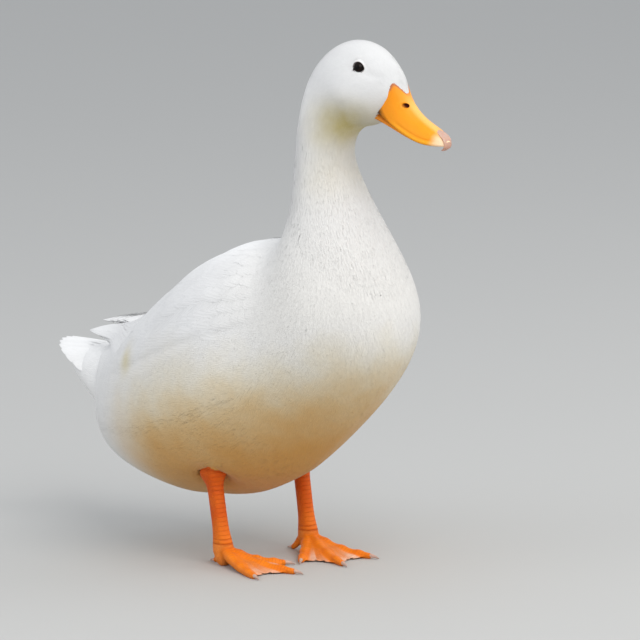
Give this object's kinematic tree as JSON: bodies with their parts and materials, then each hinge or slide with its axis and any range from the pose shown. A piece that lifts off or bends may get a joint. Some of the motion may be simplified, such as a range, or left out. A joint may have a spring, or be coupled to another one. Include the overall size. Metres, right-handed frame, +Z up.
{
  "type": "duck",
  "caption": "Still, life-size model of an adult white domestic duck standing on both webbed feet, neck upright, head turned slightly left, wings folded.",
  "frame": {"origin": "on the floor, under the middle of the duck's overall length and between its feet", "axes": "+Z up; the duck faces -Y and its left side is +X"},
  "size_m": [0.208, 0.4834, 0.4927],
  "materials": {
    "plumage": "soft matt white feathers",
    "bill": "smooth, half-matt orange horn",
    "nail": "smooth pinkish horn",
    "eyes": "wet, dark brown",
    "skin": "scaly orange skin",
    "claws": "smooth pale horn"
  },
  "bodies": {
    "root": {"trunk": "plumage", "tail": "plumage", "neck": "plumage", "head": "plumage", "wing_left": "plumage", "wing_right": "plumage", "thigh_left": "plumage", "thigh_right": "plumage", "bill_upper": "bill", "bill_lower": "bill", "bill_nail": "nail", "eye_left": "eyes", "eye_right": "eyes", "shank_left": "skin", "shank_right": "skin", "foot_left": "skin", "foot_right": "skin", "hallux_left": "skin", "hallux_right": "skin", "claw_inner_left": "claws", "claw_middle_left": "claws", "claw_outer_left": "claws", "claw_hallux_left": "claws", "claw_inner_right": "claws", "claw_middle_right": "claws", "claw_outer_right": "claws", "claw_hallux_right": "claws"}
  },
  "joints": []
}
